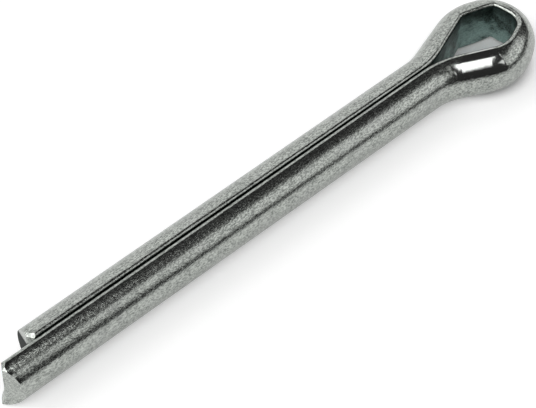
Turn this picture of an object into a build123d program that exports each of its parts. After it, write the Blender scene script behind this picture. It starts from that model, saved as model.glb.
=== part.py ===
from build123d import *
import math
import os

# Split pin (cotter pin), nominal 5 x 40: one length of half-round steel wire folded into an eye and
# two straight legs, flat sides together. X runs along the shank to the leg tips, Y across the legs
# towards the long one, and Z along the eye's axis. The origin is on the shank's axis, at the datum
# under the eye where the legs begin to part.

# Driving dimensions, in millimetres
SHANK_DIAMETER = 4.5
LENGTH = 40.0               # datum to the short leg's tip
OVERHANG = 3.1              # how far the long leg runs past the short one
RIM_RADIUS = 0.3            # rounded corner between the wire's flat and round sides

# Slot between the flats: closed at the neck and the tips, sprung a little open between them
CLOSED_GAP = 0.04
OPEN_GAP = 0.11
KNEE_FROM_DATUM = 26.0      # where the flats are furthest apart
KNEE_RADIUS = 3000.0

# Line of the wire's full thickness round the eye: its corners, measured from the eye's centre, and
# their bend radii. Each neck is the corner, short of the datum, of a bend that starts at the datum.
DATUM_TO_EYE = 7.0
NECK_LONG = 1.6
SHOULDER_LONG_X = 0.22
SHOULDER_LONG_Y = 2.55
SHOULDER_LONG_RADIUS = 2.7
CROWN_X = -3.94
CROWN_Y = -0.37
CROWN_RADIUS = 1.6
SHOULDER_SHORT_X = 0.28
SHOULDER_SHORT_Y = -1.93
SHOULDER_SHORT_RADIUS = 2.95
NECK_SHORT = 0.96

# Hole pressed by the forming pin: its corners and their radii, measured in the same way
PARTING_FROM_DATUM = 0.25   # where the flats begin to bend apart
NECK_HOLE_LONG = 1.62
NECK_HOLE_SHORT = 1.18
HOLE_BEND_X = 0.02
HOLE_BEND_Y = 2.48
HOLE_BEND_RADIUS = 2.6
HOLE_END_X = -2.82
HOLE_END_Y = 1.16
HOLE_END_RADIUS = 1.2
FAR_CREASE_X = -2.28
FAR_CREASE_Y = -1.24
FAR_CREASE_RADIUS = 0.3
NEAR_CREASE_X = 0.67
NEAR_CREASE_Y = -2.09
NEAR_CREASE_RADIUS = 0.35

# Cropped leg ends: blunt chisels in plan, with an upright ridge. The blade presses a bevel along the
# upper edge and drags a small spur out of the lower one.
RIDGE_FROM_FLAT = 0.6
BEVEL_DEPTH = 0.4
BEVEL_HEIGHT = 0.24
BEVEL_ROLL = 0.5            # radius that runs the bevel into the leg's top
FACE_LEAN = 0.12            # how far back the face is at its top
SPUR_LENGTH = 0.4
SPUR_HEIGHT = 0.9
SKEW_LONG = 24.0            # degrees in plan, from square, of the face outside the ridge
SKEW_SHORT = 10.0
SKEW_INNER = 32.0           # of the face between the ridge and the flat

# Values worked out from the driving dimensions
wire_radius = SHANK_DIAMETER / 2
half_slot = CLOSED_GAP / 2
half_open = OPEN_GAP / 2
long_tip = LENGTH + OVERHANG
stock = SHANK_DIAMETER      # extra wire past each tip, before it is cropped


def eye_point(x, y):
    """A point measured from the eye's centre."""
    return (x - DATUM_TO_EYE, y)


def bend_radius(start, corner, following):
    """Radius of the bend that starts at one point, and turns at the corner towards the following one."""
    back = Vector(*start) - Vector(*corner)
    ahead = Vector(*following) - Vector(*corner)
    half_turn = math.radians(180 - back.get_angle(ahead)) / 2
    return back.length / math.tan(half_turn)


def wire_lines():
    """The line where the wire is thickest, in two: in along the long leg and round the crown, and from
    there out along the short leg."""
    datum = (0, 0)
    neck_long = (-NECK_LONG, 0)
    shoulder_long = eye_point(SHOULDER_LONG_X, SHOULDER_LONG_Y)
    crown = eye_point(CROWN_X, CROWN_Y)
    shoulder_short = eye_point(SHOULDER_SHORT_X, SHOULDER_SHORT_Y)
    neck_short = (-NECK_SHORT, 0)
    long_radii = [bend_radius(datum, neck_long, shoulder_long), SHOULDER_LONG_RADIUS, CROWN_RADIUS]
    short_radii = [CROWN_RADIUS, SHOULDER_SHORT_RADIUS, bend_radius(datum, neck_short, shoulder_short)]
    to_crown = FilletPolyline(
        (long_tip + stock, 0), neck_long, shoulder_long, crown, shoulder_short, radius=long_radii
    )
    from_crown = FilletPolyline(
        shoulder_long, crown, shoulder_short, neck_short, (LENGTH + stock, 0), radius=short_radii
    )
    return Wire(to_crown.edges()[:-1]), Wire(from_crown.edges()[2:])


def flat_point(x, side):
    """A point on one leg's flat between the neck and the knee, or on its line carried on past the neck."""
    return (x, side * (half_slot + (half_open - half_slot) * x / KNEE_FROM_DATUM))


def flat_line():
    """The line of the wire's flat side: the walls of the slot and of the hole, in the same order."""
    bend = eye_point(HOLE_BEND_X, HOLE_BEND_Y)
    near_crease = eye_point(NEAR_CREASE_X, NEAR_CREASE_Y)
    neck_long = flat_point(-NECK_HOLE_LONG, 1)
    neck_short = flat_point(-NECK_HOLE_SHORT, -1)
    corners = [
        (long_tip + stock, half_slot),
        flat_point(KNEE_FROM_DATUM, 1),
        neck_long,
        bend,
        eye_point(HOLE_END_X, HOLE_END_Y),
        eye_point(FAR_CREASE_X, FAR_CREASE_Y),
        near_crease,
        neck_short,
        flat_point(KNEE_FROM_DATUM, -1),
        (long_tip + stock, -half_slot),
    ]
    radii = [
        KNEE_RADIUS,
        bend_radius(flat_point(PARTING_FROM_DATUM, 1), neck_long, bend),
        HOLE_BEND_RADIUS,
        HOLE_END_RADIUS,
        FAR_CREASE_RADIUS,
        NEAR_CREASE_RADIUS,
        bend_radius(flat_point(PARTING_FROM_DATUM, -1), neck_short, near_crease),
        KNEE_RADIUS,
    ]
    return FilletPolyline(*corners, radius=radii)


def hole_and_slot():
    """The space between the flats, as one solid to be cut from the wire."""
    flat = flat_line()
    outline = make_face([*flat.edges(), Line(flat @ 1, flat @ 0)])
    return extrude(outline, wire_radius, both=True)


def runs_along_rim(edge):
    """Whether an edge is a corner between the flat and the round side, above or below, and not upright."""
    return edge.bounding_box().size.Z < abs(edge.center().Z)


def half_of_wire(line, side, opening):
    """One leg and its part of the eye: round outside, cut back to the flat and to its side of the slot,
    and rounded along its rims."""
    outward = (line % 0).cross(Vector(0, 0, 1))
    start = Plane(origin=line @ 0, z_dir=line % 0, x_dir=outward)
    spare_inside = CROWN_RADIUS / 2
    kept = Pos(wire_radius - spare_inside, 0) * Rectangle(SHANK_DIAMETER, SHANK_DIAMETER)
    wire = sweep(start * (Circle(wire_radius) & kept), path=line)
    span = DATUM_TO_EYE + long_tip + stock
    beside = Pos(span / 2 - DATUM_TO_EYE, -side * wire_radius)
    other_leg = beside * Box(span, SHANK_DIAMETER, SHANK_DIAMETER)
    half = wire - opening - other_leg
    return fillet([edge for edge in half.edges() if runs_along_rim(edge)], RIM_RADIUS)


def folded_wire():
    """The wire folded into its eye and two legs, before its ends are cropped."""
    long_line, short_line = wire_lines()
    opening = hole_and_slot()
    return half_of_wire(long_line, 1, opening) + half_of_wire(short_line, -1, opening)


def crop_profile():
    """Side view of what the blade takes off, measured from the tip and the shank's axis."""
    edge = (-FACE_LEAN, wire_radius - BEVEL_HEIGHT)
    bevel_start = (-FACE_LEAN - BEVEL_DEPTH, wire_radius)
    beyond = 2 * stock
    bevel = FilletPolyline(edge, bevel_start, (-stock, wire_radius), radius=BEVEL_ROLL)
    rest = Polyline(
        bevel @ 1,
        (-stock, SHANK_DIAMETER),
        (beyond, SHANK_DIAMETER),
        (beyond, -SHANK_DIAMETER),
        (SPUR_LENGTH, -SHANK_DIAMETER),
        (SPUR_LENGTH, -wire_radius),
        (0, SPUR_HEIGHT - wire_radius),
        edge,
    )
    return Plane.XZ * make_face([*bevel.edges(), *rest.edges()])


def waste(tip, side, skew):
    """What the blade takes off one leg, outside the ridge and between the ridge and the flat."""
    profile = Pos(tip, side * RIDGE_FROM_FLAT) * crop_profile()
    outer = math.radians(skew)
    inner = math.radians(SKEW_INNER)
    outside = extrude(profile, stock, dir=(-math.sin(outer), side * math.cos(outer), 0))
    inside = extrude(
        profile, RIDGE_FROM_FLAT / math.cos(inner), dir=(-math.sin(inner), -side * math.cos(inner), 0)
    )
    return outside + inside


split_pin = folded_wire() - waste(long_tip, 1, SKEW_LONG) - waste(LENGTH, -1, SKEW_SHORT)
split_pin.label = "split_pin"

os.makedirs("parts", exist_ok=True)
export_step(split_pin, "parts/split_pin.step")
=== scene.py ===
import math

import bpy
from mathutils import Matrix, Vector


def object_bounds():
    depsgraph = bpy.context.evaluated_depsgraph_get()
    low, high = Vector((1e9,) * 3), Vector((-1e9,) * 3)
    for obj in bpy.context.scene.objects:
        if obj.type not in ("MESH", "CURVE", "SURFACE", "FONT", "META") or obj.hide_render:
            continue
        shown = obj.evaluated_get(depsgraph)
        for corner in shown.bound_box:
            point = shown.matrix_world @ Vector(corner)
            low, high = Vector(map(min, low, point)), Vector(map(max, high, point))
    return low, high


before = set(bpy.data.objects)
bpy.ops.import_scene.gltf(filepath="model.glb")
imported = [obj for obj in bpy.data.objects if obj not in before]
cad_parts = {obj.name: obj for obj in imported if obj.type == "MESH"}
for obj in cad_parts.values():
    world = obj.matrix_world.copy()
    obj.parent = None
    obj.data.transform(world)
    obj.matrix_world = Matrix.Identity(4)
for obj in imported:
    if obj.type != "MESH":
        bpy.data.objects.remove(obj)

# Everything is in metres, in the CAD frame: X along the shank to the tips, Y towards the long leg, Z up.
MM = 0.001
PER_MM = 1000.0             # from metres to millimetres, for textures that are laid out in millimetres

# Camera, on the photograph's line of sight
CAMERA_AZIMUTH = 48.86      # degrees from +X towards +Y
CAMERA_ELEVATION = 53.14    # degrees above the floor
CAMERA_DISTANCE = 157.9 * MM
CAMERA_AIM = Vector((17.516, 0.81, 0.0)) * MM
LENS = 135.5                # mm, on a 36 mm wide sensor
SENSOR_WIDTH = 36.0

# Softboxes: azimuth, elevation (degrees), distance, width, height (metres), radiance
SIDE_BOX = (-105, 32, 1.5, 3.3, 1.8, 0.85)
FRONT_BOX = (54, 63, 1.5, 1.3, 1.15, 2.0)
BACK_BOX = (138, 32, 1.5, 1.5, 0.95, 0.9)
END_BOX = (-15, 42, 1.5, 1.5, 1.2, 2.2)
WORLD_GREY = 0.03

# Floor of white paper. The fill is what is added to the light that the camera and reflections get from it.
FLOOR_SIZE = 4.0
FLOOR_GREY = 0.88
FILL_SEEN = 0.30            # for the camera, so that the paper is white
FILL_MIRRORED = 0.10        # for reflections
PAINTED_EYE_SHADOW = (3.0 * MM, 4.5 * MM)    # distances from the eye's centre between which the fill comes up; where it is left out, under the eye, the paper is grey as a painted shadow

EYE_CENTRE = Vector((-7.0, 0.3, 0.0)) * MM

# Zinc plate
ZINC_LIGHT = (0.60, 0.63, 0.59, 1)
ZINC_DARK = (0.225, 0.24, 0.225, 1)
ZINC_CLOUD = (0.44, 0.445, 0.44, 1)
CLOUD_AMOUNT = 0.25
# Painted shade: a dark colour for the shade that the lower end of the short leg's tip faces beside the long
# leg
PAINTED_TIP_SHADE = (0.06, 0.065, 0.063, 1)
BURNISHED = (0.60, 0.62, 0.60, 1)
# Painted shade: near black in the eye and in the slot between the legs, with lighter patches in the eye
INSIDE_LIGHT = (0.38, 0.52, 0.49, 1)
INSIDE_PAINTED_SHADE = (0.015, 0.025, 0.02, 1)
ROUGHNESS_LOW = 0.17
ROUGHNESS_HIGH = 0.22
ROUGHNESS_BURNISHED = 0.10
ROUGHNESS_INSIDE = 0.42
ROUGHNESS_SHEARED = 0.75

# Noise sizes, in features per mm
GRAIN_SCALE = 8.0
GRAIN_DRAWN = (0.6, 1.0, 1.0)       # stretches the grain along the wire
MOTTLE_SCALE = 1.6
CLOUD_SCALE = 0.35
PATCH_SCALE = 0.6
PATCH_OFFSET = (7.7, 4.4, 2.2)      # mm, a part of the noise whose lighter patches fall where the eye shows them
BUMP_DEPTH = 0.018 * MM
SMOOTH_BUMP = 0.15                  # share of the bump left where the metal is burnished

# Where the finish and the painted shade change, in mm: the value at which a change starts and the one at
# which it is complete
SLOT_EDGE = (0.07, 0.12)            # distance from the plane between the legs
SLOT_START = (-3.0, -2.5)           # x
SLOT_END = (39.0, 39.8)             # x
PRESSED_START = (-5.8, -5.65)       # x
PRESSED_END = (-1.9, -1.75)         # x
PRESSED_SIDE = (1.15, 1.45)         # y
PRESSED_FOOT = (1.1, 1.25)          # z
CROPPED_START = (42.1, 42.5)        # x, the long leg's tip
CROPPED_AMOUNT = 0.8
SHORT_TIP_START = (37.5, 38.0)      # x
SHORT_SIDE = (-0.2, -0.1)           # y
SHEAR_TOP = (0.8, 1.2)              # z
RIM_SHADE_DEPTH = (0.3, 1.7)           # z, between which the lighter patches in the eye fade towards its rim, a painted shade that darkens the wall near the rim
RIM_SHADE_PATCHES_LEFT = 0.25                    # what is left of the patches there


def direction(azimuth, elevation):
    """The unit vector that points at a place in the sky, from degrees."""
    a = math.radians(azimuth)
    e = math.radians(elevation)
    return Vector((math.cos(e) * math.cos(a), math.cos(e) * math.sin(a), math.sin(e)))


def add_camera():
    data = bpy.data.cameras.new("camera")
    data.lens = LENS
    data.sensor_width = SENSOR_WIDTH
    data.clip_start = 0.01
    data.clip_end = 10.0
    camera = bpy.data.objects.new("camera", data)
    bpy.context.collection.objects.link(camera)
    back = direction(CAMERA_AZIMUTH, CAMERA_ELEVATION)
    camera.location = CAMERA_AIM + back * CAMERA_DISTANCE
    camera.rotation_euler = back.to_track_quat("Z", "Y").to_euler()
    bpy.context.scene.camera = camera


def add_softbox(name, azimuth, elevation, distance, width, height, radiance):
    """A rectangular lamp that faces the object. Its power gives the wanted radiance at any size."""
    data = bpy.data.lights.new(name, "AREA")
    data.shape = "RECTANGLE"
    data.size = width
    data.size_y = height
    data.energy = radiance * math.pi * width * height
    lamp = bpy.data.objects.new(name, data)
    bpy.context.collection.objects.link(lamp)
    away = direction(azimuth, elevation)
    lamp.location = CAMERA_AIM + away * distance
    lamp.rotation_euler = away.to_track_quat("Z", "Y").to_euler()
    lamp.visible_camera = False


def add_world():
    world = bpy.data.worlds.new("studio")
    world.use_nodes = True
    background = world.node_tree.nodes["Background"]
    background.inputs["Color"].default_value = (WORLD_GREY, WORLD_GREY, WORLD_GREY, 1)
    bpy.context.scene.world = world


class Nodes:
    """Short names for making a material's nodes. An input is a number, a colour or another node's output."""

    def __init__(self, name):
        self.material = bpy.data.materials.new(name)
        self.material.use_nodes = True
        self.tree = self.material.node_tree
        self.tree.nodes.clear()

    def add(self, kind, inputs, output=0, **settings):
        node = self.tree.nodes.new(kind)
        for key, value in settings.items():
            setattr(node, key, value)
        for key, value in inputs.items():
            if isinstance(value, bpy.types.NodeSocket):
                self.tree.links.new(value, node.inputs[key])
            else:
                node.inputs[key].default_value = value
        return node.outputs[output]

    def math(self, operation, a, b=0.0):
        return self.add("ShaderNodeMath", {0: a, 1: b}, operation=operation)

    def product(self, *factors):
        result = factors[0]
        for factor in factors[1:]:
            result = self.math("MULTIPLY", result, factor)
        return result

    def vector(self, operation, a, b=(0, 0, 0), output=0):
        return self.add("ShaderNodeVectorMath", {0: a, 1: b}, output, operation=operation)

    def split(self, vector):
        """The three coordinates of a vector."""
        return self.add("ShaderNodeSeparateXYZ", {0: vector}).node.outputs

    def noise(self, where, scale, roughness=0.55):
        inputs = {"Vector": where, "Scale": scale, "Detail": 2.0, "Roughness": roughness}
        return self.add("ShaderNodeTexNoise", inputs, "Fac")

    def remap(self, value, low, high, to_low=0.0, to_high=1.0):
        """Runs smoothly from to_low to to_high as the value goes from low to high, and stops there."""
        inputs = {"Value": value, "From Min": low, "From Max": high, "To Min": to_low, "To Max": to_high}
        return self.add("ShaderNodeMapRange", inputs, interpolation_type="SMOOTHSTEP")

    def above(self, value, limits):
        """0 below the lower limit and 1 above the upper one."""
        return self.remap(value, *limits)

    def below(self, value, limits):
        """1 below the lower limit and 0 above the upper one."""
        return self.remap(value, *limits, 1.0, 0.0)

    def mix(self, factor, a, b):
        """Two colours, mixed."""
        inputs = {"Factor": factor, 6: a, 7: b}
        return self.add("ShaderNodeMix", inputs, 2, data_type="RGBA")

    def blend(self, factor, a, b):
        """Two numbers, mixed."""
        return self.add("ShaderNodeMix", {"Factor": factor, 2: a, 3: b}, 0, data_type="FLOAT")

    def finish(self, shader):
        output = self.tree.nodes.new("ShaderNodeOutputMaterial")
        self.tree.links.new(shader, output.inputs["Surface"])
        return self.material


def floor_material():
    """White paper. Only the camera and reflections see its fill, which is left out under the eye as a
    painted shadow there.
    """
    n = Nodes("floor")
    paper = n.add("ShaderNodeBsdfDiffuse", {"Color": (FLOOR_GREY, FLOOR_GREY, FLOOR_GREY, 1)})
    path = n.tree.nodes.new("ShaderNodeLightPath").outputs
    mirrored = n.math("MAXIMUM", path["Is Glossy Ray"], path["Is Transmission Ray"])
    seen = n.product(path["Is Camera Ray"], FILL_SEEN)
    strength = n.math("ADD", seen, n.product(mirrored, FILL_MIRRORED))
    place = n.add("ShaderNodeTexCoord", {}, "Object")
    # Painted shadow: the fill fades out near the eye's centre, so the paper seen under and through the eye
    # is grey
    from_eye = n.vector("DISTANCE", place, EYE_CENTRE, "Value")
    fill = n.add("ShaderNodeEmission", {"Strength": n.product(strength, n.above(from_eye, PAINTED_EYE_SHADOW))})
    return n.finish(n.add("ShaderNodeAddShader", {0: paper, 1: fill}))


def add_floor(height):
    bpy.ops.mesh.primitive_plane_add(size=FLOOR_SIZE, location=(0, 0, height))
    floor = bpy.context.object
    floor.name = "floor"
    floor.data.materials.append(floor_material())


def place_in_mm(n):
    """Where the surface is, in millimetres in the CAD frame."""
    place = n.vector("SCALE", n.add("ShaderNodeTexCoord", {}, "Object"))
    place.node.inputs["Scale"].default_value = PER_MM
    return place


def zinc_material():
    """Zinc plate over the whole wire, with its own finish in the eye, in the slot and where tools met it,
    and painted shade in the eye, in the slot and on the short leg's tip.
    """
    n = Nodes("zinc_plate")
    place = place_in_mm(n)
    x, y, z = n.split(place)
    normal = n.add("ShaderNodeNewGeometry", {}, "Normal")
    facing = n.split(normal)

    # Inside of the eye and of the slot, which get a duller finish and painted shade
    to_eye = n.vector("SUBTRACT", EYE_CENTRE * PER_MM, place)
    inward = n.vector("DOT_PRODUCT", normal, to_eye, "Value")
    upright = n.below(n.math("ABSOLUTE", facing["Z"]), (0.35, 0.75))
    in_eye = n.product(n.above(inward, (0.1, 0.5)), upright)
    slot_finish_and_shade = n.product(
        n.below(n.math("ABSOLUTE", y), SLOT_EDGE), n.above(x, SLOT_START), n.below(x, SLOT_END)
    )
    hollow_finish_and_shade = n.math("MAXIMUM", in_eye, slot_finish_and_shade)

    # Flat pressed along the long side of the neck by the forming tool, and the long leg's cropped tip
    pressed = n.product(
        n.above(x, PRESSED_START),
        n.below(x, PRESSED_END),
        n.above(y, PRESSED_SIDE),
        n.below(inward, (-0.6, -0.2)),
        n.above(z, PRESSED_FOOT),
    )
    smooth = n.math("MAXIMUM", pressed, n.product(n.above(x, CROPPED_START), CROPPED_AMOUNT))

    # Lower part of the short leg's tip, where it was sheared: rougher, and darkened with painted shade
    sheared_and_shade = n.product(
        n.above(x, SHORT_TIP_START),
        n.below(y, SHORT_SIDE),
        n.below(z, SHEAR_TOP),
        n.above(facing["X"], (0.25, 0.5)),
    )

    # Crystalline grain, drawn out a little along the wire, and slower unevenness
    grain = n.noise(n.vector("MULTIPLY", place, GRAIN_DRAWN), GRAIN_SCALE, 0.6)
    mottle = n.noise(place, MOTTLE_SCALE)
    cloud = n.noise(place, CLOUD_SCALE)
    patch = n.noise(n.vector("ADD", place, PATCH_OFFSET), PATCH_SCALE)

    shade = n.math("ADD", n.remap(grain, 0.34, 0.66, 0.0, 0.8), n.remap(mottle, 0.35, 0.65, 0.0, 0.2))
    colour = n.mix(shade, ZINC_DARK, ZINC_LIGHT)
    colour = n.mix(n.remap(cloud, 0.45, 0.7, 0.0, CLOUD_AMOUNT), colour, ZINC_CLOUD)
    # Lighter patches in the eye, dimmed towards the rim by painted shade
    eye_patches = n.math("ADD", n.remap(patch, 0.38, 0.62, 0.0, 0.65), n.remap(grain, 0.36, 0.64, 0.0, 0.35))
    shown = n.product(eye_patches, in_eye, n.remap(z, *RIM_SHADE_DEPTH, 1.0, RIM_SHADE_PATCHES_LEFT))
    colour = n.mix(pressed, colour, BURNISHED)
    # Painted shade: near black in the eye and the slot, lifted by the lighter patches in the eye
    colour = n.mix(hollow_finish_and_shade, colour, n.mix(shown, INSIDE_PAINTED_SHADE, INSIDE_LIGHT))
    # Painted shade on the lower end of the short leg's tip
    colour = n.mix(sheared_and_shade, colour, PAINTED_TIP_SHADE)

    roughness = n.remap(grain, 0.3, 0.7, ROUGHNESS_LOW, ROUGHNESS_HIGH)
    roughness = n.blend(smooth, roughness, ROUGHNESS_BURNISHED)
    roughness = n.blend(hollow_finish_and_shade, roughness, ROUGHNESS_INSIDE)
    roughness = n.blend(sheared_and_shade, roughness, ROUGHNESS_SHEARED)

    relief = n.math("ADD", n.product(grain, 0.6), n.product(mottle, 0.4))
    relief = n.product(relief, n.blend(smooth, 1.0, SMOOTH_BUMP))
    bump = n.add("ShaderNodeBump", {"Strength": 1.0, "Distance": BUMP_DEPTH, "Height": relief})
    shader = n.add(
        "ShaderNodeBsdfPrincipled",
        {"Base Color": colour, "Metallic": 1.0, "Roughness": roughness, "Normal": bump},
    )
    return n.finish(shader)


cad_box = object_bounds()
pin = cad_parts["split_pin"]
pin.material_slots[0].material = zinc_material()

add_camera()
add_world()
add_softbox("side_box", *SIDE_BOX)
add_softbox("front_box", *FRONT_BOX)
add_softbox("back_box", *BACK_BOX)
add_softbox("end_box", *END_BOX)
add_floor(cad_box[0][2])

bpy.context.scene.view_settings.view_transform = "Standard"
